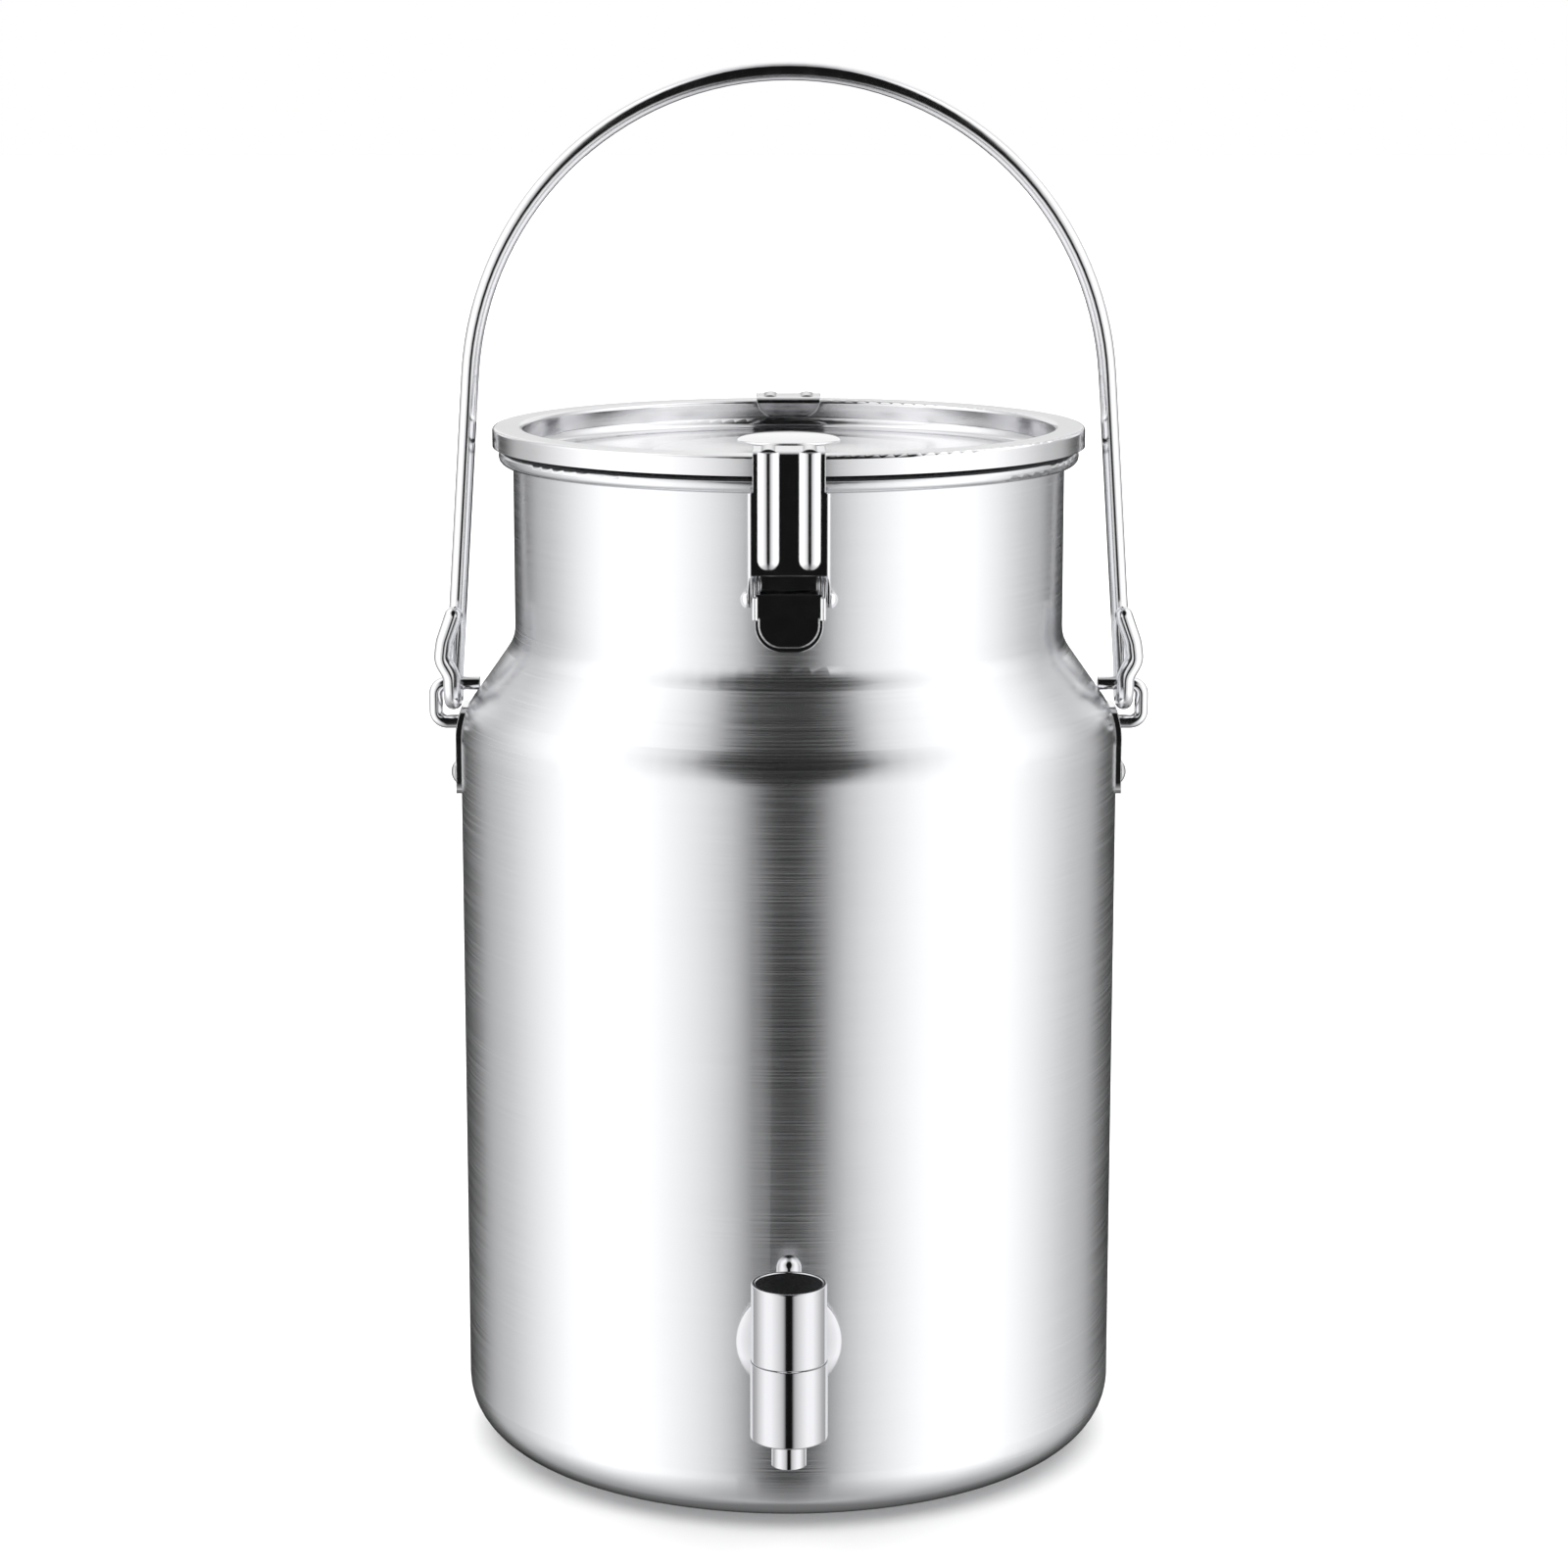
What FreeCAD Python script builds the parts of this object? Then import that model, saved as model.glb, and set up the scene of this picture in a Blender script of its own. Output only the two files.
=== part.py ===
"""Stainless steel milk can: lidded can with two toggle latches, a wire bail and a tap. Millimetres, +Z up,
origin at the middle of the base, tap and front latch towards -Y, bail lugs at +X and -X."""
import FreeCAD, Part
import math
import os

V = FreeCAD.Vector
X, Y, Z = V(1, 0, 0), V(0, 1, 0), V(0, 0, 1)
ORIGIN = V(0, 0, 0)

# ---- driving dimensions ----
sheet = 1.0                 # wall of the can and of the lid
can_r = 120.0               # outside of the straight wall
base_corner = 21.0
shoulder_z = 270.0          # sharp corner between wall and shoulder cone
shoulder_round = 25.0
neck_r = 99.7
neck_z = 298.8              # sharp corner between shoulder cone and neck
neck_round = 15.0
bead_r, bead_ring_r, bead_z = 2.9, 102.0, 365.5   # wired edge round the mouth

lid_r, lid_top, skirt_bottom = 107.1, 376.0, 369.0
recess_r, recess_floor = 96.1, 365.0
lid_disc_r, lid_disc_rise = 50.0, 2.0
lid_knob_r, lid_knob_top = 19.0, 373.0
knob_stud_r = 3.0

latch_half = 12.3           # half width of the hook plate
latch_sheet = 1.1
hook_back = 107.6           # inner face of the hook plate, from the can's axis
hook_under = 376.6          # underside of the hook where it crosses the lid's rim
hook_lip_out, hook_lip_bottom, lip_round = 89.6, 370.0, 7.0
hook_plate_bottom = 335.5
pivot_rho, pivot_z = 104.4, 332.0      # lever on bracket
throw, over_centre = 5.0, 0.4          # hook pin below and behind the lever's pivot
latch_pin_r, latch_pin_clear = 1.5, 0.05
rib_half, rib_spacing, rib_height, rib_bottom = 3.5, 7.0, 1.4, 337.6

wire_r = 3.25               # bail
bail_arc_r, bail_arc_z, bail_flare = 115.8, 386.0, 3.8
eye_rod_r, eye_top_z, eye_height, eye_reach = 2.5, 281.2, 14.2, 129.3
loop_r = 6.45               # bail end round the lug's rod

tap_y, tap_port_z = -150.0, 70.6
tap_r, tap_barrel_r, tap_top, tap_seam, tap_foot, spout_foot = 12.9, 13.2, 100.7, 73.5, 46.0, 36.3
spout_r, port_r, plug_r, shank_r = 5.95, 3.5, 6.2, 6.5
tap_flange_r, tap_flange_depth, washer_gap = 18.5, 5.0, 2.0
barrel_top, plug_low, plug_clear, duct_z, groove_z = 73.3, 52.0, 0.06, 58.5, 67.5
spout_neck_r, spout_neck_top = 4.6, 50.6
elbow_r, elbow_half, elbow_front, elbow_back = 8.5, 7.0, -136.7, -127.5
stem_neck_r, stem_top, screw_r, screw_head_r = 4.0, 90.0, 1.5, 3.2
cap_r, cap_depth = 11.7, 1.6
lever_arm_z, lever_arm_r, finger_r, finger_top = 94.0, 1.8, 4.3, 104.5


# ---- helpers ----
def point(u, w, plane):
    """A point of a sketch: plane "xz" takes (x, z) and plane "yz" takes (y, z)."""
    return V(u, 0, w) if plane == "xz" else V(0, u, w)


def rounded_edges(points, plane, closed):
    """Straight runs joined by tangent arcs. Each point is (u, w, corner radius)."""
    n = len(points)
    corners = [point(u, w, plane) for u, w, _ in points]
    starts, ends, arcs = list(corners), list(corners), [None] * n
    for i in range(n) if closed else range(1, n - 1):
        radius = points[i][2]
        if radius <= 0:
            continue
        here, back, on = corners[i], corners[i - 1], corners[(i + 1) % n]
        d1, d2 = (back - here).normalize(), (on - here).normalize()
        half = d1.getAngle(d2) / 2
        cut = radius / math.tan(half)
        starts[i], ends[i] = here + d1 * cut, here + d2 * cut
        centre = here + (d1 + d2).normalize() * (radius / math.sin(half))
        middle = centre + (here - centre).normalize() * radius
        arcs[i] = Part.Arc(starts[i], middle, ends[i]).toShape()
    edges = []
    for i in range(n):
        if arcs[i]:
            edges.append(arcs[i])
        j = (i + 1) % n
        if (closed or j) and ends[i].distanceToPoint(starts[j]) > 1e-6:
            edges.append(Part.LineSegment(ends[i], starts[j]).toShape())
    return edges


def outline(points, plane="xz"):
    return Part.Face(Part.Wire(rounded_edges(points, plane, True)))


def turned(points):
    return outline(points).revolve(ORIGIN, Z, 360)


def rod(radius, start, end):
    return Part.makeCylinder(radius, start.distanceToPoint(end), start, end - start)


def box(x0, x1, y0, y1, z0, z1):
    return Part.makeBox(x1 - x0, y1 - y0, z1 - z0, V(x0, y0, z0))


def tube(outer, inner, start, end):
    return rod(outer, start, end).cut(rod(inner, start, end))


def turned_about(shape, angle):
    copy = shape.copy()
    copy.rotate(ORIGIN, Z, angle)
    return copy


def moved(shape, x, y, z):
    copy = shape.copy()
    copy.translate(V(x, y, z))
    return copy


def one_solid(shape):
    clean = shape.removeSplitter()
    return clean.Solids[0] if len(clean.Solids) == 1 else clean


def save(name, shape):
    for solid in shape.Solids:
        if not solid.isValid():
            print("not valid:", name)
    print(f"{name:22s} solids {len(shape.Solids)} volume {shape.Volume:10.1f}")
    shape.exportStep(f"parts/{name}.step")


# ---- can ----
shoulder_turn = math.atan((can_r - neck_r) / (neck_z - shoulder_z))


def can_envelope(grow, top):
    """The can's outer surface as a solid, grown outwards by `grow` (inwards when negative)."""
    lift = grow * math.tan(shoulder_turn / 2)
    return turned([
        (0, -grow, 0),
        (can_r + grow, -grow, base_corner + grow),
        (can_r + grow, shoulder_z + lift, shoulder_round + grow),
        (neck_r + grow, neck_z + lift, neck_round - grow),
        (neck_r + grow, top, 0),
        (0, top, 0)])


def make_can_body():
    shell = can_envelope(0, bead_z).cut(can_envelope(-sheet, bead_z + 5))
    body = shell.fuse(Part.makeTorus(bead_ring_r, bead_r, V(0, 0, bead_z), Z))
    body = body.cut(rod(shank_r + 0.3, V(0, -can_r - 5, tap_port_z), V(0, -can_r + 8, tap_port_z)))
    for side in (-1, 1):
        for y, z in lug_rivet_places:
            start = V(side * (can_r - 6), y, z)
            body = body.cut(rod(lug_rivet_r, start, start + X * (12 * side)))
    for side in (-1, 1):
        for z in latch_rivet_heights:
            start = V(0, side * (neck_r - 4), z)
            body = body.cut(rod(latch_rivet_r, start, start + Y * (8 * side)))
    return one_solid(body)


# ---- bail lugs ----
lug_rivet_places = [(-9.0, 250.0), (9.0, 250.0)]
lug_rivet_r, lug_rivet_head_r, lug_rivet_head = 2.0, 4.0, 1.6
lug_sheet, lug_half, lug_bottom, lug_top = 2.0, 16.0, 242.0, 273.5


def make_lug_plate():
    skin = can_envelope(lug_sheet, bead_z).cut(can_envelope(0, bead_z))
    blank = outline([(-lug_half, lug_bottom, 6), (lug_half, lug_bottom, 6), (lug_half, 262, 8),
                     (9, lug_top, 5), (-9, lug_top, 5), (-lug_half, 262, 8)], "yz").extrude(X * 140)
    plate = skin.common(blank)
    for y, z in lug_rivet_places:
        plate = plate.cut(rod(lug_rivet_r, V(100, y, z), V(140, y, z)))
    eye_low = eye_top_z - eye_height
    return one_solid(plate.cut(rod(eye_rod_r, V(112, 0, eye_low), V(125, 0, eye_low))))


def make_lug_eye():
    """A rod bent to a D, with its upper end on the shoulder and its lower end through the plate."""
    low = eye_top_z - eye_height
    root_high, root_low, bend = 113.2, can_r + 0.1, 4.0
    path = Part.Wire(rounded_edges([(root_high, eye_top_z, 0), (eye_reach, eye_top_z, bend),
                                    (eye_reach, low, bend), (root_low, low, 0)], "xz", False))
    section = Part.Wire(Part.makeCircle(eye_rod_r, V(root_high, 0, eye_top_z), X))
    return path.makePipeShell([section], True, False).cut(can_envelope(0.02, bead_z))


def make_lug_rivets():
    rivets = []
    for y, z in lug_rivet_places:
        wall = math.sqrt(can_r ** 2 - y ** 2)
        outer = wall + lug_sheet
        shank = rod(lug_rivet_r, V(wall - sheet - 0.3, y, z), V(outer + 0.3, y, z))
        ball_r = (lug_rivet_head_r ** 2 + lug_rivet_head ** 2) / (2 * lug_rivet_head)
        ball = Part.makeSphere(ball_r, V(outer + lug_rivet_head - ball_r, y, z))
        head = ball.common(rod(lug_rivet_head_r, V(outer - 1.5, y, z), V(outer + 5, y, z)))
        tail = rod(lug_rivet_head_r - 0.8, V(wall - sheet - 1.4, y, z), V(wall - sheet + 0.8, y, z))
        head = head.cut(can_envelope(lug_sheet, bead_z))
        tail = tail.common(can_envelope(-sheet, bead_z))
        rivets.append(one_solid(shank.fuse([head, tail])))
    return Part.makeCompound(rivets)


# ---- bail ----
def make_bail():
    """Round wire: an arch, two straight flared legs, a turn under each lug's rod and a turned-back end."""
    flare = math.radians(bail_flare)
    arc_end = V(bail_arc_r * math.cos(flare), loop_r, bail_arc_z + bail_arc_r * math.sin(flare))
    foot_x = arc_end.x + (arc_end.z - eye_top_z - 4) * math.tan(flare)
    foot = V(foot_x, loop_r, eye_top_z)

    def half(side):
        def at(x, y, z):
            return V(side * x, y, z)
        top = V(0, loop_r, bail_arc_z + bail_arc_r)
        knee = math.radians(48)
        middle = at(bail_arc_r * math.sin(knee), loop_r, bail_arc_z + bail_arc_r * math.cos(knee))
        end = at(arc_end.x, loop_r, arc_end.z)
        edges = [Part.Arc(top, middle, end).toShape()]
        leg = [(arc_end.x, arc_end.z, 0), (foot.x, foot.z + 4, 30), (foot.x, foot.z, 0)]
        back = [(foot.x, foot.z, 0), (foot.x, foot.z + 3.5, 7), (foot.x + 3.4, foot.z + 9.5, 6),
                (foot.x + 2.6, foot.z + 16, 14), (foot.x - 0.9, foot.z + 26, 0)]
        for edge_list, y in ((leg, loop_r), (back, -loop_r)):
            for edge in rounded_edges(edge_list, "xz", False):
                if side < 0:
                    edge = edge.mirror(ORIGIN, X)
                edge.translate(V(0, y, 0))
                edges.append(edge)
            if y > 0:
                edges.append(Part.Arc(at(foot.x, y, foot.z), at(foot.x, 0, foot.z - loop_r),
                                      at(foot.x, -y, foot.z)).toShape())
        path = Part.Wire(Part.__sortEdges__(edges))
        section = Part.Wire(Part.makeCircle(wire_r, top, X))
        wire = path.makePipeShell([section], True, False)
        tip = at(foot.x - 0.9, -loop_r, foot.z + 26)
        return wire.fuse(Part.makeSphere(wire_r, tip))

    return one_solid(half(1).fuse(half(-1)))


# ---- lid ----
def make_lid_pan():
    t, rise_z = sheet, recess_floor + lid_disc_rise
    pan = turned([
        (0, rise_z, 0), (lid_disc_r, rise_z, 3), (lid_disc_r + 4, recess_floor, 3),
        (recess_r, recess_floor, 4), (recess_r, lid_top, 1.6), (lid_r, lid_top, 1.3),
        (lid_r, skirt_bottom, 0), (lid_r - t, skirt_bottom, 0), (lid_r - t, lid_top - t, 0.3),
        (recess_r + t, lid_top - t, 0.6), (recess_r + t, recess_floor - t, 5),
        (lid_disc_r + 4 - 0.4, recess_floor - t, 2), (lid_disc_r - 0.4, rise_z - t, 4), (0, rise_z - t, 0)])
    return one_solid(pan.cut(rod(knob_stud_r, V(0, 0, 350), V(0, 0, 380))))


def make_lid_gasket():
    low = bead_z + bead_r + 0.3
    return turned([(98.2, low, 0.8), (105.7, low, 0.8), (105.7, lid_top - sheet, 0), (98.2, lid_top - sheet, 0)])


def make_lid_knob():
    seat = recess_floor + lid_disc_rise
    knob = turned([(0, seat, 0), (11, seat, 0.5), (11, seat + 2.2, 1.5), (lid_knob_r, seat + 3.0, 0.8),
                   (lid_knob_r, seat + 4.2, 0.6), (lid_knob_r - 5, lid_knob_top - 0.5, 8), (0, lid_knob_top, 0)])
    return one_solid(knob.cut(rod(knob_stud_r, V(0, 0, seat - 1), V(0, 0, seat + 4))))


def hexagon(flats, centre, direction, height, bore):
    corner_r = flats / math.sqrt(3)
    side = X if abs(direction.x) < 0.5 else Y
    other = direction.cross(side)
    turns = [math.radians(60 * k) for k in range(7)]
    corners = [centre + side * (corner_r * math.cos(a)) + other * (corner_r * math.sin(a)) for a in turns]
    prism = Part.Face(Part.makePolygon(corners)).extrude(direction * height)
    round_off = Part.makeCone(corner_r - 0.6, corner_r - 0.6 + height * 3, height * 3, centre, direction)
    prism = prism.common(round_off) if height > 1 else prism
    return prism.cut(rod(bore, centre - direction, centre + direction * (height + 1)))


# ---- latches, drawn for the front one; rho is the distance from the can's axis towards -Y ----
latch_rivet_heights = [346.0, 357.0]
latch_rivet_r = 1.6
ear_in, ear_out = 10.2, 11.3
cheek_in, cheek_out, tab_field = 11.6, 12.5, 10.2
flange_in, flange_out, flange_bend = 12.8, 14.0, 1.2
lever_web, lever_fold, lever_tip = 105.6, 320.4, 309.6
tab_top, tab_round = 322.0, 9.0
hook_pin_rho, hook_pin_z = pivot_rho - over_centre, pivot_z - throw


def side_plates(points, inner, outer, holes):
    """Two mirrored plates from a side outline of (rho, z, corner radius), with cross holes (rho, z, radius)."""
    face = outline([(-rho, z, r) for rho, z, r in points], "yz")
    plates = []
    for side in (-1, 1):
        plate = moved(face, side * inner, 0, 0).extrude(X * (side * (outer - inner)))
        for rho, z, r in holes:
            plate = plate.cut(rod(r, V(side * (inner - 1), -rho, z), V(side * (outer + 1), -rho, z)))
        plates.append(plate)
    return plates


def make_latch_bracket():
    base_in, base_out, low, high = neck_r + 0.02, neck_r + 1.2, 323.0, 362.0
    base = box(-ear_out, ear_out, -base_out, -base_in, low, high)
    for z in latch_rivet_heights:
        base = base.cut(rod(latch_rivet_r, V(0, -90, z), V(0, -110, z)))
    ears = side_plates([(base_in, pivot_z - 6, 0), (base_in, pivot_z + 4, 0), (pivot_rho + 2.3, pivot_z + 1.9, 1.8),
                        (pivot_rho + 2.3, pivot_z - 2.1, 1.8)], ear_in, ear_out,
                       [(pivot_rho, pivot_z, latch_pin_r)])
    return one_solid(base.fuse(ears))


def make_latch_rivets():
    rivets = []
    for z in latch_rivet_heights:
        shank = rod(latch_rivet_r, V(0, -neck_r + sheet + 0.2, z), V(0, -neck_r - 1.3, z))
        head = rod(3.2, V(0, -neck_r - 1.2, z), V(0, -neck_r - 2.2, z))
        tail = rod(2.8, V(0, -neck_r + sheet + 1.0, z), V(0, -neck_r + sheet - 0.8, z))
        rivets.append(one_solid(shank.fuse([head, tail.common(can_envelope(-sheet, bead_z))])))
    return Part.makeCompound(rivets)


def make_latch_lever():
    cheeks = side_plates([(102.0, 334.4, 2.3), (pivot_rho + 2.4, 334.4, 2.3), (lever_web + 1.8, 328, 4),
                          (lever_web + 1.8, lever_fold, 1), (102.6, lever_fold - 0.6, 2)],
                         cheek_in, cheek_out,
                         [(pivot_rho, pivot_z, latch_pin_r + latch_pin_clear),
                          (hook_pin_rho, hook_pin_z, latch_pin_r)])
    web = box(-cheek_in, cheek_in, -lever_web - 1.0, -lever_web, lever_fold, 329.0)
    for side in (-1, 1):
        edge = rod(0.9, V(side * (cheek_out - 0.9), -lever_web - 1.8, lever_fold),
                   V(side * (cheek_out - 0.9), -lever_web - 1.8, 328.0))
        web = web.fuse(edge)
    tab_back = outline([(-lever_web, lever_fold + 0.4, 0), (-lever_web - 1.0, lever_fold + 0.4, 0),
                        (-lever_web - 2.9, lever_tip, 0), (-lever_web - 1.9, lever_tip, 0)], "yz")
    tab = moved(tab_back, -cheek_in, 0, 0).extrude(X * (2 * cheek_in))
    trim = outline([(-cheek_in, tab_top, 0), (cheek_in, tab_top, 0), (cheek_in, lever_tip, tab_round),
                    (-cheek_in, lever_tip, tab_round)])
    trim = moved(trim, 0, -130, 0).extrude(Y * 40)
    tab = tab.common(trim)
    rim_blank = moved(tab_back, -cheek_in, 0, 0).extrude(X * (2 * cheek_in))
    rim_blank.translate(V(0, -0.9, 0))
    field_round, field_low = tab_round - 1.4, lever_tip + 1.6
    field = outline([(-tab_field, 330, 0), (tab_field, 330, 0), (tab_field, field_low, field_round),
                     (-tab_field, field_low, field_round)])
    rim = rim_blank.common(trim).cut(moved(field, 0, -130, 0).extrude(Y * 40))
    return one_solid(web.fuse(cheeks + [tab, rim]))


def make_lever_pins():
    pins = []
    for side in (-1, 1):
        def at(x, side=side):
            return V(side * x, -pivot_rho, pivot_z)
        shank = rod(latch_pin_r, at(ear_in - 0.7), at(cheek_out + 0.1))
        pins.append(one_solid(shank.fuse(rod(2.3, at(ear_in - 0.9), at(ear_in - 0.05)))))
    return Part.makeCompound(pins)


def make_hook_pins():
    pins = []
    for side in (-1, 1):
        def at(x, side=side):
            return V(side * x, -hook_pin_rho, hook_pin_z)
        shank = rod(latch_pin_r, at(cheek_in - 0.05), at(flange_out + 0.5))
        dome = Part.makeSphere(3.4, at(flange_out - 0.9))
        dome = dome.common(rod(3.2, at(flange_out + 0.15), at(flange_out + 3)))
        pins.append(one_solid(shank.fuse(dome)))
    return Part.makeCompound(pins)


def make_latch_hook():
    t, back, under, lip = latch_sheet, hook_back, hook_under, hook_lip_out
    strip = outline([(-back, hook_plate_bottom, 0), (-back - t, hook_plate_bottom, 0), (-back - t, under + t, 2.6),
                     (-lip + t, under + t, 2.4), (-lip + t, hook_lip_bottom, 0.4), (-lip, hook_lip_bottom, 0.4),
                     (-lip, under, 1.3), (-back, under, 1.5)], "yz")
    plate = moved(strip, -latch_half, 0, 0).extrude(X * (2 * latch_half))
    lip_shape = outline([(-latch_half, 390, 0), (latch_half, 390, 0), (latch_half, hook_lip_bottom, lip_round),
                         (-latch_half, hook_lip_bottom, lip_round)])
    lip_zone = moved(lip_shape, 0, -lip - 4, 0).extrude(Y * 20)
    plate_zone = box(-latch_half, latch_half, -120, -lip - 4, 330, 390)
    plate = plate.common(plate_zone.fuse(lip_zone))
    flange_top = 361.0
    low, rear = hook_pin_z - 2.8, 101.6
    flanges = side_plates([(back + t, hook_plate_bottom, 0), (back + t, flange_top + 2.5, 0),
                           (back + t - 3.0, flange_top + 2.5, 0),
                           (rear, flange_top - 4, 3), (rear, low, 2.2), (hook_pin_rho + 2.6, low, 2.2)],
                          flange_in, flange_out,
                          [(hook_pin_rho, hook_pin_z, latch_pin_r + latch_pin_clear)])
    joins = side_plates([(back, hook_plate_bottom, 0), (back + t, hook_plate_bottom, 0),
                         (back + t, flange_top + 3, 0), (back, flange_top + 3, 0)],
                        latch_half - 0.2, flange_in + 0.2, [])
    parts = flanges + joins
    rib_ball_r = (rib_half ** 2 + rib_height ** 2) / (2 * rib_height)
    rib_axis = -back - t - rib_height + rib_ball_r
    for side in (-1, 1):
        x = side * rib_spacing
        low_end, high_end = V(x, rib_axis, rib_bottom + rib_half), V(x, rib_axis, under + 0.6)
        rib = rod(rib_ball_r, low_end, high_end).fuse(Part.makeSphere(rib_ball_r, low_end))
        rib_zone = box(x - rib_half, x + rib_half, -130, -back - 0.2, rib_bottom - 1, high_end.z)
        rib = one_solid(rib).common(rib_zone)
        crown_axis = under + t + 0.6 - rib_ball_r
        crown = rod(rib_ball_r, V(x, -back - t + 0.6, crown_axis), V(x, -lip - 1.6, crown_axis))
        crown = crown.common(box(x - rib_half, x + rib_half, -130, -80, under + 0.2, under + t + 1))
        parts += [rib, crown]
    hook = one_solid(plate.fuse(parts))
    front = -back - t
    bends = [e for e in hook.Edges if abs(abs(e.CenterOfMass.x) - flange_out) < 0.01
             and abs(e.CenterOfMass.y - front) < 0.01 and e.Length > 15]
    return one_solid(hook.makeFillet(flange_bend, bends))


# ---- tap ----
def make_tap_flange():
    """A domed rosette on the washer, turned about the tap's level port."""
    back = can_r + washer_gap
    ball_r = (tap_flange_r ** 2 + tap_flange_depth ** 2) / (2 * tap_flange_depth)
    dome = Part.makeSphere(ball_r, V(0, -back - tap_flange_depth + ball_r, tap_port_z))
    disc = dome.common(rod(tap_flange_r, V(0, -back, tap_port_z), V(0, -back - 10, tap_port_z)))
    return one_solid(disc.cut(rod(shank_r, V(0, -100, tap_port_z), V(0, -140, tap_port_z))))


def make_tap_washer(inside):
    if inside:
        ring = tube(14.0, shank_r, V(0, -can_r - 2, tap_port_z), V(0, -can_r + sheet + 3.2, tap_port_z))
        return one_solid(ring.common(can_envelope(-sheet, bead_z)))
    ring = tube(16.5, shank_r, V(0, -can_r - washer_gap, tap_port_z), V(0, -can_r + 5, tap_port_z))
    return one_solid(ring.cut(can_envelope(0, bead_z)))


def make_tap_shank():
    return tube(shank_r, port_r, V(0, -104.0, tap_port_z), V(0, elbow_back - 4.2, tap_port_z))


def make_tap_nut():
    return one_solid(hexagon(22.0, V(0, -can_r + sheet + 3.2, tap_port_z), Y, 6.0, shank_r))


def tap_axis(z):
    return V(0, tap_y, z)


def make_tap_barrel():
    """The fixed lower half: seat bore, outlet, and an elbow behind the top that carries the shank."""
    body = moved(turned([(0, tap_foot, 0), (tap_barrel_r, tap_foot, 0.8), (tap_barrel_r, barrel_top, 0.3),
                         (0, barrel_top, 0)]), 0, tap_y, 0)
    elbow = rod(elbow_r, V(0, elbow_front, tap_port_z), V(0, -can_r - 7.2, tap_port_z))
    neck = box(-elbow_half, elbow_half, elbow_front, elbow_back, duct_z - 6, tap_port_z)
    root = box(-elbow_half, elbow_half, tap_y + 8, elbow_front + 1, duct_z - 6, barrel_top)
    body = body.fuse([elbow, neck, root])
    drop_y = elbow_back - 4.2
    for passage in (rod(plug_r + plug_clear, tap_axis(plug_low), tap_axis(barrel_top + 1)),
                    rod(port_r, tap_axis(tap_foot - 1), tap_axis(plug_low + 1)),
                    rod(spout_neck_r, tap_axis(tap_foot - 1), tap_axis(spout_neck_top)),
                    rod(shank_r, V(0, drop_y, tap_port_z), V(0, -can_r, tap_port_z)),
                    rod(port_r, V(0, drop_y, tap_port_z), V(0, drop_y, duct_z)),
                    rod(port_r, V(0, drop_y, duct_z), V(0, tap_y, duct_z))):
        body = body.cut(passage)
    return one_solid(body)


def make_tap_stem():
    """The turning plug: a level port meets a bore down to the outlet."""
    stem = turned([(0, plug_low + 0.2, 0), (plug_r, plug_low + 0.2, 0.3), (plug_r, groove_z - 1, 0),
                   (plug_r - 1.3, groove_z - 1, 0), (plug_r - 1.3, groove_z + 1, 0), (plug_r, groove_z + 1, 0),
                   (plug_r, tap_seam + 1, 0), (stem_neck_r, tap_seam + 1, 0), (stem_neck_r, stem_top, 0.3),
                   (0, stem_top, 0)])
    stem = moved(stem, 0, tap_y, 0)
    stem = stem.cut(rod(port_r - 0.5, tap_axis(plug_low - 1), tap_axis(duct_z)))
    stem = stem.cut(rod(port_r - 0.5, tap_axis(duct_z), tap_axis(duct_z) + X * 8))
    return one_solid(stem.cut(rod(screw_r, tap_axis(stem_top - 7), tap_axis(stem_top + 1))))


def make_tap_o_ring():
    return Part.makeTorus(plug_r - 0.65, 0.6, tap_axis(groove_z), Z)


def make_tap_knob():
    shell = turned([(0, tap_seam, 0), (tap_r, tap_seam, 0.4), (tap_r, tap_top, 0.6), (cap_r, tap_top, 0.2),
                    (cap_r, tap_top - cap_depth, 0), (0, tap_top - cap_depth, 0)])
    shell = moved(shell, 0, tap_y, 0)
    hollow = tube(tap_r - 1.6, stem_neck_r + 2, tap_axis(tap_seam - 1), tap_axis(tap_top - 12))
    shell = shell.cut(hollow).cut(rod(plug_r + 0.3, tap_axis(tap_seam - 1), tap_axis(tap_seam + 1.2)))
    shell = shell.cut(rod(stem_neck_r, tap_axis(tap_seam), tap_axis(stem_top + 0.1)))
    shell = shell.cut(rod(screw_r, tap_axis(stem_top), tap_axis(tap_top)))
    shell = shell.cut(rod(screw_head_r, tap_axis(stem_top + 2), tap_axis(tap_top)))
    arm_hole = rod(lever_arm_r, V(0, tap_y + tap_r - 3, lever_arm_z), V(0, tap_y + tap_r + 1, lever_arm_z))
    return one_solid(shell.cut(arm_hole))


def make_tap_knob_screw():
    shank = rod(screw_r, tap_axis(stem_top - 6.5), tap_axis(stem_top + 2))
    head = rod(screw_head_r - 0.1, tap_axis(stem_top + 2), tap_axis(stem_top + 4.5))
    slot = box(-4, 4, tap_y - 0.4, tap_y + 0.4, stem_top + 3.5, stem_top + 5)
    return one_solid(shank.fuse(head).cut(slot))


def make_tap_knob_cap():
    return moved(turned([(0, tap_top - cap_depth, 0), (cap_r, tap_top - cap_depth, 0), (cap_r, tap_top - 0.3, 0.3),
                         (0, tap_top - 0.3, 0)]), 0, tap_y, 0)


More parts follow.
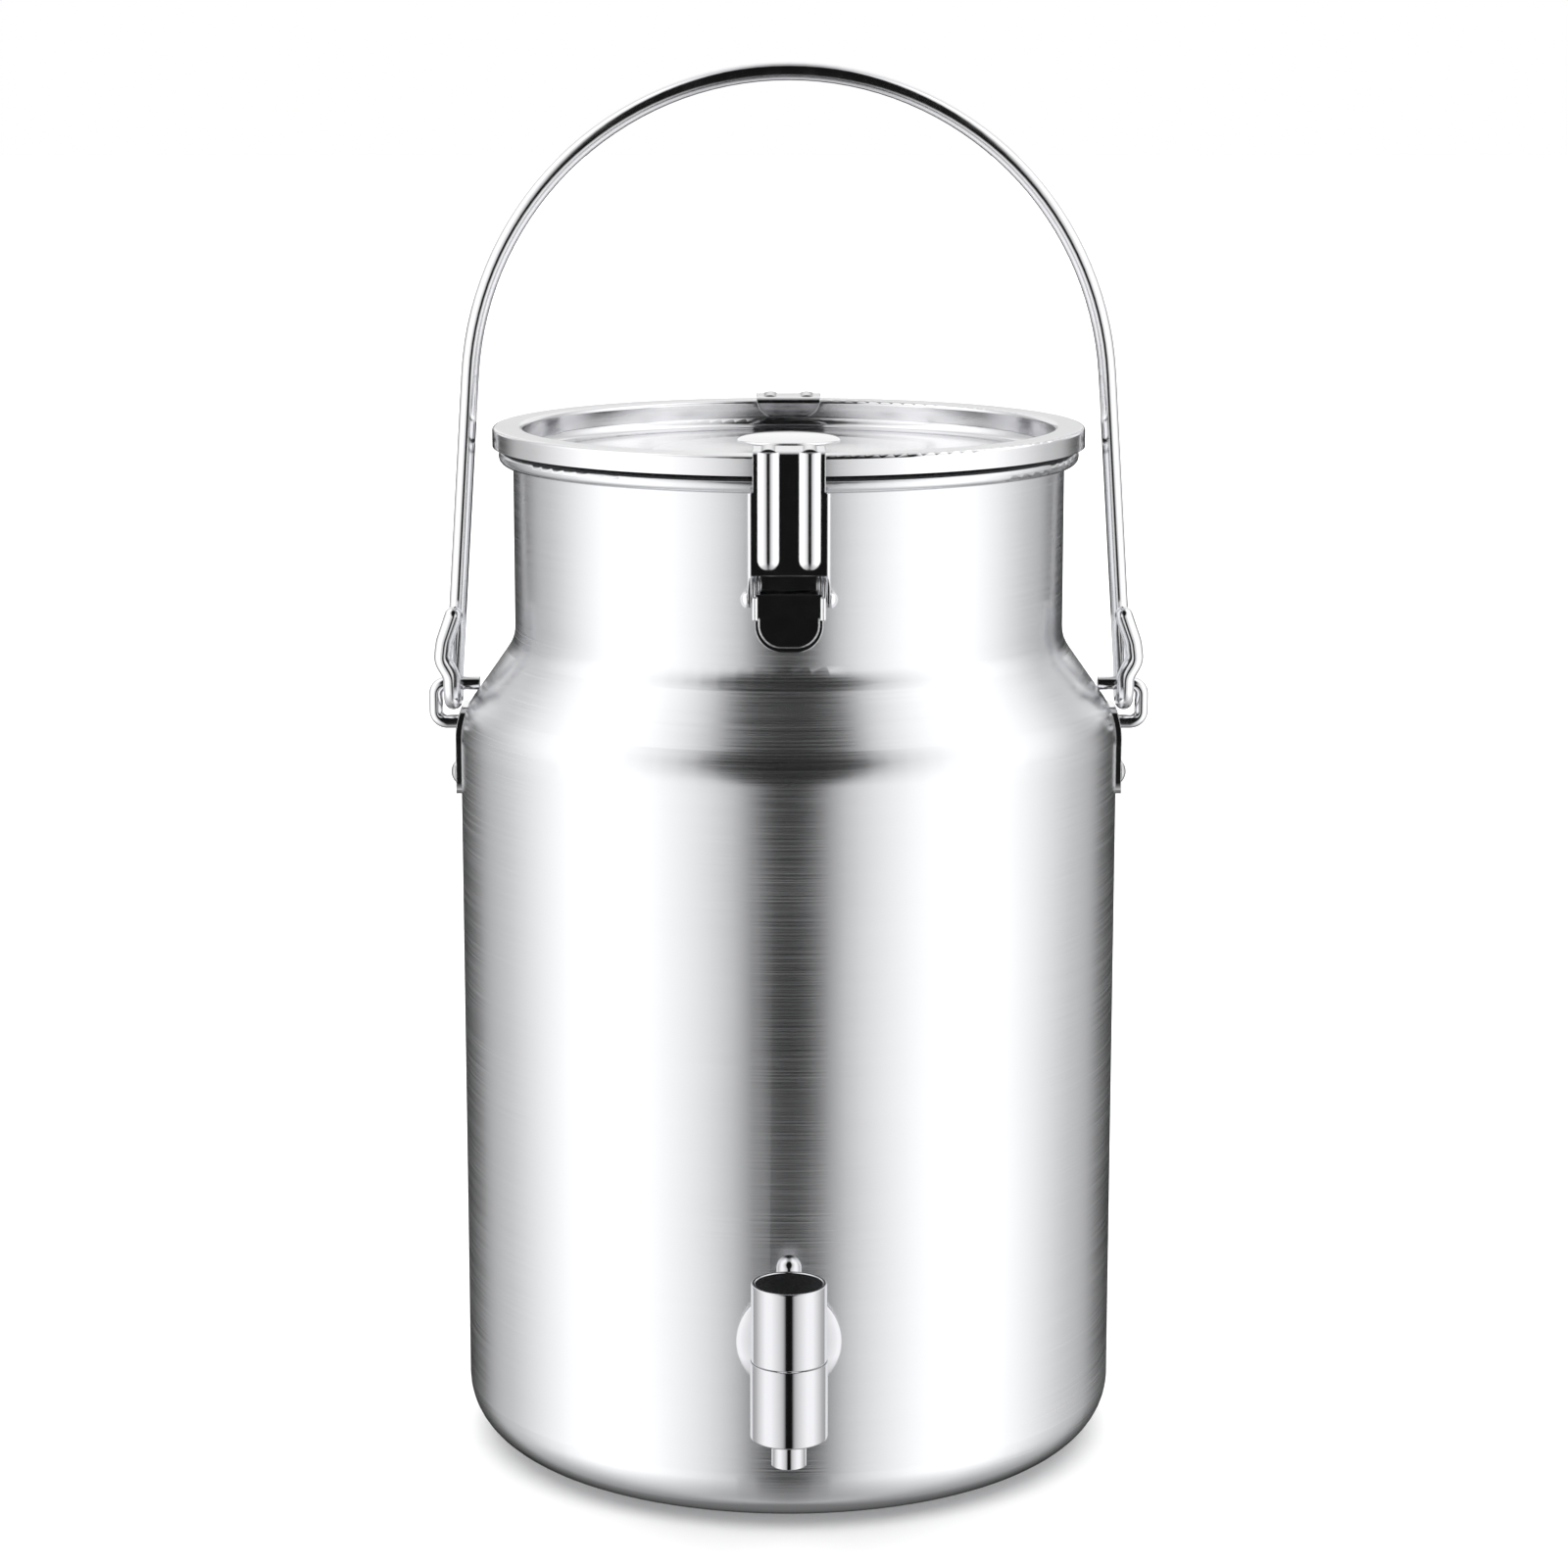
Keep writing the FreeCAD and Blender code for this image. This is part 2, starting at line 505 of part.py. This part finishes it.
def make_tap_knob_lever():
    """A short upright finger with a round end, held to the back of the turning top by its arm."""
    finger_y = tap_y + tap_r + 1.2 + finger_r
    arm = rod(lever_arm_r, V(0, tap_y + tap_r - 2.8, lever_arm_z), V(0, finger_y, lever_arm_z))
    finger = rod(finger_r, V(0, finger_y, lever_arm_z - 4), V(0, finger_y, finger_top - finger_r))
    parts = [arm, Part.makeSphere(finger_r, V(0, finger_y, finger_top - finger_r)),
             Part.makeSphere(finger_r, V(0, finger_y, lever_arm_z - 4))]
    return one_solid(finger.fuse(parts))


def make_tap_spout():
    tail = tube(spout_r, port_r, tap_axis(spout_foot), tap_axis(tap_foot))
    neck = tube(spout_neck_r, port_r, tap_axis(tap_foot), tap_axis(spout_neck_top))
    return one_solid(tail.fuse(neck))


os.makedirs("parts", exist_ok=True)

save("can_body", make_can_body())

lug = {"lug_plate": make_lug_plate(), "lug_eye": make_lug_eye(), "lug_rivets": make_lug_rivets()}
for name, shape in lug.items():
    save("right_" + name, shape)
    save("left_" + name, turned_about(shape, 180))
save("bail_handle", make_bail())

save("lid_pan", make_lid_pan())
save("lid_gasket", make_lid_gasket())
save("lid_knob", make_lid_knob())
pan_under = recess_floor + lid_disc_rise - sheet
save("lid_knob_stud", rod(knob_stud_r, V(0, 0, pan_under - 5), V(0, 0, pan_under + sheet + 4)))
save("lid_knob_washer", tube(8.0, knob_stud_r, V(0, 0, pan_under - 1), V(0, 0, pan_under)))
save("lid_knob_nut", one_solid(hexagon(10.0, V(0, 0, pan_under - 5), Z, 4.0, knob_stud_r)))

latch = {"latch_bracket": make_latch_bracket(), "latch_rivets": make_latch_rivets(),
         "latch_lever": make_latch_lever(), "latch_lever_pins": make_lever_pins(),
         "latch_hook": make_latch_hook(), "latch_hook_pins": make_hook_pins()}
for name, shape in latch.items():
    save("front_" + name, shape)
    save("rear_" + name, turned_about(shape, 180))

save("tap_flange", make_tap_flange())
save("tap_outer_washer", make_tap_washer(False))
save("tap_inner_washer", make_tap_washer(True))
save("tap_shank", make_tap_shank())
save("tap_nut", make_tap_nut())
save("tap_barrel", make_tap_barrel())
save("tap_spout", make_tap_spout())
save("tap_stem", make_tap_stem())
save("tap_o_ring", make_tap_o_ring())
save("tap_knob", make_tap_knob())
save("tap_knob_screw", make_tap_knob_screw())
save("tap_knob_cap", make_tap_knob_cap())
save("tap_knob_lever", make_tap_knob_lever())
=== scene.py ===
# %% [markdown]
# # Stainless steel milk can
# The can, its lid, latches, bail and tap come in as exact CAD solids. This lesson gives them their
# finishes, remakes the two turned pieces whose soft edges the eye catches, and sets up a studio of bright
# sides and a dark middle.

# %% Load the frame
import math
import bpy
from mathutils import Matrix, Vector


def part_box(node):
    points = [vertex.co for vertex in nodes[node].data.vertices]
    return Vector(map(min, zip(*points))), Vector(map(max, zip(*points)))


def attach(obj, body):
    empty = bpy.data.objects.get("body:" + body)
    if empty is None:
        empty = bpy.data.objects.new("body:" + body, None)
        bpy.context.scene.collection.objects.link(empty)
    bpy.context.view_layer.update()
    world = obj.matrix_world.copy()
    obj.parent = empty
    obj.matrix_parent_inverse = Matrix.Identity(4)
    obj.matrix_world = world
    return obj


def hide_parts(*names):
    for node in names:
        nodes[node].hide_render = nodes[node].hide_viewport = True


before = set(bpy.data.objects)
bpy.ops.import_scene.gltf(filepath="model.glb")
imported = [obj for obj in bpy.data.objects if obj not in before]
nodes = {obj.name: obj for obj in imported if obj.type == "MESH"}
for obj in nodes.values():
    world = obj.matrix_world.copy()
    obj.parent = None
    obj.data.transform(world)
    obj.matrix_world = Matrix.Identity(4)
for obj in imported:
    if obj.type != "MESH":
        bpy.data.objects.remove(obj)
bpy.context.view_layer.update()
mm = 0.001

# %% [markdown]
# Every colour is written as a hex value, as a paint chart gives it. Blender's shaders work in linear light,
# so one function turns a hex value into linear numbers. A grey for the lights is one linear level, so it
# has its own.

# %% Colour helper
def linear(hex_value):
    channels = [int(hex_value[i:i + 2], 16) / 255 for i in (1, 3, 5)]
    return [c / 12.92 if c <= 0.04045 else ((c + 0.055) / 1.055) ** 2.4 for c in channels] + [1.0]


def grey(level):
    return (level, level, level, 1.0)


print("a pale steel in linear light", [round(c, 3) for c in linear("#E4E5E7")])

# %% [markdown]
# A material is a small graph. One function adds a node, sets its values and makes its links, so each finish
# below reads as a list of what feeds what.

# %% Node helper
def add_node(tree, kind, links=None, **settings):
    node = tree.nodes.new(kind)
    inputs = settings.pop("inputs", {})
    for name, value in settings.items():
        setattr(node, name, value)
    for name, value in inputs.items():
        node.inputs[name].default_value = value
    for name, source in (links or {}).items():
        tree.links.new(source, node.inputs[name])
    return node


def new_material(name):
    material = bpy.data.materials.new(name)
    material.use_nodes = True
    material.node_tree.nodes.clear()
    return material, material.node_tree


print("materials can now be made")

# %% [markdown]
# The can and its lid are stainless sheet, turned on a lathe against an abrasive belt. The belt leaves
# hairlines that run round the can, about 0.2 mm apart. They are drawn 0.6 to 0.8 mm apart so that they
# show, and they smear each reflection up and down the wall, which is why the light lies on the can in tall
# soft bands.

# %% Brushed stainless steel
def brushed_stainless(name, colour, rough, line_mm, streak_depth):
    along = 9.0             # patches along a hairline, per metre
    shade = 0.93            # how bright a hairline's trough is beside its crest
    material, tree = new_material(name)
    place = add_node(tree, "ShaderNodeTexCoord")
    lines = add_node(tree, "ShaderNodeMapping", {"Vector": place.outputs["Object"]},
                     inputs={"Scale": (along, along, 1 / (line_mm * mm))})
    hair = add_node(tree, "ShaderNodeTexNoise", {"Vector": lines.outputs[0]},
                    inputs={"Scale": 1.0, "Detail": 4.0, "Roughness": 0.6})
    clouds = add_node(tree, "ShaderNodeTexNoise", {"Vector": place.outputs["Object"]},
                      inputs={"Scale": 14.0, "Detail": 3.0})
    spread = add_node(tree, "ShaderNodeMapRange", {"Value": hair.outputs["Fac"]},
                      inputs={"From Min": 0.3, "From Max": 0.7,
                              "To Min": rough - 0.05, "To Max": rough + 0.06})
    handled = add_node(tree, "ShaderNodeMapRange", {"Value": clouds.outputs["Fac"]},
                       inputs={"From Min": 0.35, "From Max": 0.75, "To Min": -0.015, "To Max": 0.03})
    wear = add_node(tree, "ShaderNodeMath", {0: spread.outputs[0], 1: handled.outputs[0]}, operation="ADD")
    trough_colour = [c * shade for c in linear(colour)[:3]] + [1.0]
    tone = add_node(tree, "ShaderNodeMix", {"Factor": hair.outputs["Fac"]}, data_type="RGBA",
                    inputs={6: trough_colour, 7: linear(colour)})
    bump = add_node(tree, "ShaderNodeBump", {"Height": hair.outputs["Fac"]},
                    inputs={"Strength": streak_depth, "Distance": 0.02 * mm})
    round_axis = add_node(tree, "ShaderNodeTangent", direction_type="RADIAL", axis="Z")
    steel = add_node(tree, "ShaderNodeBsdfPrincipled",
                     {"Base Color": tone.outputs[2], "Roughness": wear.outputs[0], "Normal": bump.outputs[0],
                      "Tangent": round_axis.outputs[0]},
                     inputs={"Metallic": 1.0, "Anisotropic": 0.6})
    add_node(tree, "ShaderNodeOutputMaterial", {"Surface": steel.outputs[0]})
    return material


brushed = brushed_stainless("brushed_stainless_sheet", "#E4E5E7", 0.20, 0.6, 0.25)
satin = brushed_stainless("satin_stainless_lid", "#E6E6E8", 0.13, 0.8, 0.15)
print("made", brushed.name, "and", satin.name)


# %% [markdown]
# The latches, the bail and the tap are bought in and buffed bright. Buffing leaves a faint orange peel and
# fine swirls that only dull the gloss a little. Small rounded edges catch the light on real pressings, and
# the Bevel node rounds the normals within 0.2 to 0.6 mm of an edge for that.

# %% Polished stainless steel
def polished_stainless(name, colour, rough, edge_mm):
    material, tree = new_material(name)
    place = add_node(tree, "ShaderNodeTexCoord")
    swirl = add_node(tree, "ShaderNodeTexNoise", {"Vector": place.outputs["Object"]},
                     inputs={"Scale": 160.0, "Detail": 5.0, "Roughness": 0.55})
    gloss = add_node(tree, "ShaderNodeMapRange", {"Value": swirl.outputs["Fac"]},
                     inputs={"From Min": 0.35, "From Max": 0.7, "To Min": rough, "To Max": rough + 0.05})
    edge = add_node(tree, "ShaderNodeBevel", samples=4, inputs={"Radius": edge_mm * mm})
    peel = add_node(tree, "ShaderNodeBump", {"Height": swirl.outputs["Fac"], "Normal": edge.outputs[0]},
                    inputs={"Strength": 0.12, "Distance": 0.03 * mm})
    steel = add_node(tree, "ShaderNodeBsdfPrincipled",
                     {"Roughness": gloss.outputs[0], "Normal": peel.outputs[0]},
                     inputs={"Metallic": 1.0, "Base Color": linear(colour)})
    add_node(tree, "ShaderNodeOutputMaterial", {"Surface": steel.outputs[0]})
    return material


polished = polished_stainless("polished_stainless_pressing", "#EDEDEE", 0.06, 0.25)
latch_finish = polished_stainless("polished_stainless_latch", "#E6E6E8", 0.07, 0.6)
wire_finish = polished_stainless("polished_stainless_wire", "#E8E8EA", 0.10, 0.2)
chrome = polished_stainless("chromed_brass_tap", "#CBCBCE", 0.05, 0.3)
# The tap's cap is a chrome piece painted dark grey. The dark stands in for the shade and the dark reflection
# on its top; it is painted shade and reflection, not a blackened metal.
painted_dark_cap = polished_stainless("chrome_cap_painted_dark", "#5A5B5E", 0.16, 0.3)
print("made", [m.name for m in (polished, latch_finish, wire_finish, chrome, painted_dark_cap)])


# %% [markdown]
# The gasket and the tap's washers are moulded silicone and nitrile rubber: dark, with a soft satin skin
# from the mould and a fine grain of about 0.4 mm.

# %% Moulded rubber
def moulded_rubber(name, colour):
    grain_mm = 0.4
    material, tree = new_material(name)
    place = add_node(tree, "ShaderNodeTexCoord")
    grain = add_node(tree, "ShaderNodeTexNoise", {"Vector": place.outputs["Object"]},
                     inputs={"Scale": 1 / (grain_mm * mm), "Detail": 3.0})
    skin = add_node(tree, "ShaderNodeBump", {"Height": grain.outputs["Fac"]},
                    inputs={"Strength": 0.3, "Distance": 0.05 * mm})
    gloss = add_node(tree, "ShaderNodeMapRange", {"Value": grain.outputs["Fac"]},
                     inputs={"To Min": 0.45, "To Max": 0.65})
    rubber = add_node(tree, "ShaderNodeBsdfPrincipled",
                      {"Roughness": gloss.outputs[0], "Normal": skin.outputs[0]},
                      inputs={"Base Color": linear(colour)})
    add_node(tree, "ShaderNodeOutputMaterial", {"Surface": rubber.outputs[0]})
    return material


gasket_rubber = moulded_rubber("moulded_silicone_gasket", "#2A2B2D")
washer_rubber = moulded_rubber("moulded_nitrile_washer", "#1B1B1C")
print("made", gasket_rubber.name, "and", washer_rubber.name)

# %% [markdown]
# Each CAD node keeps its own mesh and takes a finish by name. The first word that fits decides, and
# whatever is left is a polished pressing. Four pieces of the tap are hidden from mirror-like reflections,
# so that the brushed wall behind them stays plain.

# %% Finishes on the CAD nodes
finishes = [("lid_knob_washer", polished), ("can_body", brushed), ("lid_pan", satin),
            ("lid_gasket", gasket_rubber), ("washer", washer_rubber), ("o_ring", washer_rubber),
            ("bail", wire_finish), ("lug_eye", wire_finish), ("knob_cap", painted_dark_cap),
            ("latch", latch_finish), ("tap", chrome), ("", polished)]
kept_out_of_reflections = ("tap_knob", "tap_knob_cap", "tap_barrel", "tap_knob_lever")
for name, node in nodes.items():
    finish = next(material for word, material in finishes if word in name)
    node.data.materials.clear()
    node.data.materials.append(finish)
    node.visible_glossy = name not in kept_out_of_reflections
print("finished", len(nodes), "nodes")

# %% [markdown]
# The lid's knob and the tap's rosette are turned and buffed, so their profiles flow instead of meeting in
# corners. Each is a circle that edit mode extrudes ring by ring, with a profile of (radius, height) worked
# out from the CAD piece's own box. A subdivision surface then rounds it.

# %% Edit-mode helpers
def start_clean():
    if bpy.context.object and bpy.context.object.mode != "OBJECT":
        bpy.ops.object.mode_set(mode="OBJECT")
    bpy.ops.object.select_all(action="DESELECT")


def apply_modifier(piece, kind, **settings):
    modifier = piece.modifiers.new(kind.title(), kind)
    for name, value in settings.items():
        setattr(modifier, name, value)
    bpy.ops.object.modifier_apply(modifier=modifier.name)


def at_origin(piece):
    start_clean()
    piece.select_set(True)
    bpy.context.view_layer.objects.active = piece
    bpy.ops.object.transform_apply(location=True, rotation=True, scale=True)


def turned_piece(name, profile, segments=64):
    """A piece turned about Z. Its profile runs from the foot's rim over the top to the middle."""
    start_clean()
    first_radius, first_height = profile[0]
    bpy.ops.mesh.primitive_circle_add(vertices=segments, radius=first_radius, location=(0, 0, first_height),
                                      fill_type="NGON")
    piece = bpy.context.object
    piece.name = name
    bpy.ops.object.mode_set(mode="EDIT")
    bpy.ops.mesh.select_all(action="SELECT")
    radius, height = first_radius, first_height
    for next_radius, next_height in profile[1:]:
        bpy.ops.mesh.extrude_region_move(TRANSFORM_OT_translate={"value": (0, 0, next_height - height)})
        scale = next_radius / radius
        bpy.ops.transform.resize(value=(scale, scale, 1), center_override=(0, 0, next_height))
        radius, height = next_radius, next_height
    bpy.ops.mesh.inset(thickness=radius * 0.5)
    bpy.ops.mesh.select_all(action="SELECT")
    bpy.ops.mesh.normals_make_consistent(inside=False)
    bpy.ops.object.mode_set(mode="OBJECT")
    at_origin(piece)
    return piece


print("turned pieces are ready to make")

# %% [markdown]
# The knob of the lid is a low mushroom: a waist to grip under and a domed crown with a soft rim.

# %% Lid knob
low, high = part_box("lid_knob")
knob_r, knob_h = high[0], high[2] - low[2]
knob = turned_piece("lid_knob_crown", [
    (0.58 * knob_r, 0), (0.575 * knob_r, 0.12 * knob_h), (0.58 * knob_r, 0.34 * knob_h),
    (0.68 * knob_r, 0.42 * knob_h), (0.985 * knob_r, 0.46 * knob_h), (knob_r, 0.55 * knob_h),
    (0.99 * knob_r, 0.66 * knob_h), (0.90 * knob_r, 0.80 * knob_h), (0.70 * knob_r, 0.92 * knob_h),
    (0.40 * knob_r, 0.985 * knob_h), (0.15 * knob_r, knob_h)])
apply_modifier(knob, "SUBSURF", levels=2, render_levels=2)
knob.location = (0, 0, low[2])
at_origin(knob)
bpy.ops.object.shade_smooth()
knob.data.materials.append(polished)
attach(knob, "can")
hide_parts("lid_knob")
print("lid knob", len(knob.data.polygons), "faces")

# %% [markdown]
# The rosette covers the hole in the wall. It rises from a thin edge to a collar round the shank.

# %% Tap rosette
low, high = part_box("tap_flange")
ros_r, ros_h = high[0], high[1] - low[1]
rosette = turned_piece("tap_rosette", [
    (0.97 * ros_r, 0), (ros_r, 0.10 * ros_h), (0.985 * ros_r, 0.20 * ros_h), (0.90 * ros_r, 0.42 * ros_h),
    (0.75 * ros_r, 0.66 * ros_h), (0.60 * ros_r, 0.82 * ros_h), (0.46 * ros_r, 0.90 * ros_h),
    (0.42 * ros_r, 0.97 * ros_h), (0.38 * ros_r, ros_h)])
apply_modifier(rosette, "SUBSURF", levels=2, render_levels=2)
rosette.rotation_euler = (math.pi / 2, 0, 0)
rosette.location = (0, high[1], (low[2] + high[2]) / 2)
at_origin(rosette)
bpy.ops.object.shade_smooth()
rosette.data.materials.append(chrome)
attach(rosette, "can")
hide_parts("tap_flange")
print("rosette", len(rosette.data.polygons), "faces")

# %% [markdown]
# A pale floor carries the can. It is hidden from mirror-like reflections, which no real floor is, so that
# the steel shows only the lights around it.

# %% Floor
bpy.ops.object.select_all(action="DESELECT")
floor_size, floor_gap = 30.0, 0.2 * mm
bpy.ops.mesh.primitive_plane_add(size=floor_size, location=(0, 0, -floor_gap))
floor = bpy.context.object
floor.name = "studio_floor"
floor_paint, floor_tree = new_material("matt_white_floor")
paint = add_node(floor_tree, "ShaderNodeBsdfPrincipled",
                 inputs={"Base Color": linear("#F8F8F8"), "Roughness": 0.9})
add_node(floor_tree, "ShaderNodeOutputMaterial", {"Surface": paint.outputs[0]})
floor.data.materials.append(floor_paint)
floor.visible_glossy = False
print("floor", floor_size, "m wide")

# %% [markdown]
# The studio is drawn in the world: a ring of light that is black straight behind the camera, rises to a
# broad softbox on each side and falls to a dark flag behind. Only the angle round the can matters low down.
# Higher up the dark middle widens, and a bright screen stands behind the can. Overhead the light is a plain
# grey, and underfoot it is mostly one. The camera itself sees plain white. A broad light overhead, hidden
# from mirror-like reflections like the floor, lays the soft shadow.

# %% Studio light
world = bpy.data.worlds.new("studio")
bpy.context.scene.world = world
world.use_nodes = True
sky = world.node_tree
sky.nodes.clear()
ray = add_node(sky, "ShaderNodeTexCoord")
parts = add_node(sky, "ShaderNodeSeparateXYZ", {0: ray.outputs["Generated"]})
front = add_node(sky, "ShaderNodeMath", {0: parts.outputs["Y"]}, operation="MULTIPLY", inputs={1: -1.0})
turn = add_node(sky, "ShaderNodeMath", {0: parts.outputs["X"], 1: front.outputs[0]}, operation="ARCTAN2")
away = add_node(sky, "ShaderNodeMath", {0: turn.outputs[0]}, operation="ABSOLUTE")
share = add_node(sky, "ShaderNodeMath", {0: away.outputs[0]}, operation="DIVIDE", inputs={1: math.pi})
widen = add_node(sky, "ShaderNodeMapRange", {"Value": parts.outputs["Z"]},
                 inputs={"From Min": 0.05, "From Max": 0.6, "To Min": 0.0, "To Max": 0.12})
gap = add_node(sky, "ShaderNodeMath", {0: share.outputs[0], 1: widen.outputs[0]}, operation="SUBTRACT",
               use_clamp=True)
ring = add_node(sky, "ShaderNodeValToRGB", {"Fac": gap.outputs[0]})
# (degrees from behind the camera, brightness)
ring_stops = [(0, 0.006), (9, 0.010), (13, 0.28), (18, 0.55), (28, 0.76), (42, 0.95), (56, 1.12), (76, 1.12),
              (98, 0.80), (116, 0.52), (130, 0.42), (142, 0.12), (160, 0.02), (180, 0.02)]
ramp = ring.color_ramp
while len(ramp.elements) < len(ring_stops):
    ramp.elements.new(0.5)
for element, (angle, level) in zip(ramp.elements, ring_stops):
    element.position = angle / 180
    element.color = grey(level)
behind = add_node(sky, "ShaderNodeMapRange", {"Value": share.outputs[0]}, interpolation_type="SMOOTHSTEP",
                  inputs={"From Min": 0.72, "From Max": 0.84, "To Min": 0.0, "To Max": 1.0})
above = add_node(sky, "ShaderNodeMapRange", {"Value": parts.outputs["Z"]}, interpolation_type="SMOOTHSTEP",
                 inputs={"From Min": 0.02, "From Max": 0.12, "To Min": 0.0, "To Max": 0.85})
screen = add_node(sky, "ShaderNodeMath", {0: behind.outputs[0], 1: above.outputs[0]}, operation="MULTIPLY")
backed = add_node(sky, "ShaderNodeMix", {"Factor": screen.outputs[0], 6: ring.outputs[0]}, data_type="RGBA",
                  inputs={7: grey(0.9)})
overhead_share = add_node(sky, "ShaderNodeMapRange", {"Value": parts.outputs["Z"]},
                          inputs={"From Min": 0.9, "From Max": 1.0, "To Min": 0.0, "To Max": 1.0})
dome = add_node(sky, "ShaderNodeMix", {"Factor": overhead_share.outputs[0], 6: backed.outputs[2]},
                data_type="RGBA", inputs={7: grey(0.4)})
above_floor = add_node(sky, "ShaderNodeMapRange", {"Value": parts.outputs["Z"]},
                       inputs={"From Min": -0.95, "From Max": -0.55, "To Min": 0.25, "To Max": 1.0})
lit = add_node(sky, "ShaderNodeMix", {"Factor": above_floor.outputs[0], 7: dome.outputs[2]}, data_type="RGBA",
               inputs={6: grey(0.2)})
studio = add_node(sky, "ShaderNodeBackground", {"Color": lit.outputs[2]}, inputs={"Strength": 1.35})
plain = add_node(sky, "ShaderNodeBackground", inputs={"Color": grey(1.0), "Strength": 1.0})
seen = add_node(sky, "ShaderNodeLightPath")
backdrop = add_node(sky, "ShaderNodeMixShader",
                    {0: seen.outputs["Is Camera Ray"], 1: studio.outputs[0], 2: plain.outputs[0]})
add_node(sky, "ShaderNodeOutputWorld", {"Surface": backdrop.outputs[0]})

bpy.ops.object.light_add(type="SUN", location=(0, 0, 2.4))
overhead = bpy.context.object
overhead.name = "overhead_soft_light"
overhead.data.angle = math.radians(80)
overhead.data.energy = 2.6
overhead.visible_glossy = False
print("world and overhead light ready")

# %% [markdown]
# The camera stands about level with the top of the raised bail and looks a little down. It is nearly twelve
# of the can's radii away, with a long lens that keeps the wall's sides almost parallel.

# %% Camera
can_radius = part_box("can_body")[1][0]
camera_data = bpy.data.cameras.new("studio_camera")
camera = bpy.data.objects.new("studio_camera", camera_data)
bpy.context.scene.collection.objects.link(camera)
aside, away_radii, up_radii, looks_down = -1.7 * mm, 11.88, 4.306, 10.85
camera.location = (aside, -away_radii * can_radius, up_radii * can_radius)
camera.rotation_euler = (math.radians(90 - looks_down), 0, 0)
camera_data.sensor_width = 36.0
camera_data.lens = 90.5
camera_data.clip_end = 100
bpy.context.scene.camera = camera
bpy.context.scene.view_settings.view_transform = "Standard"
print("camera", [round(v, 3) for v in camera.location])
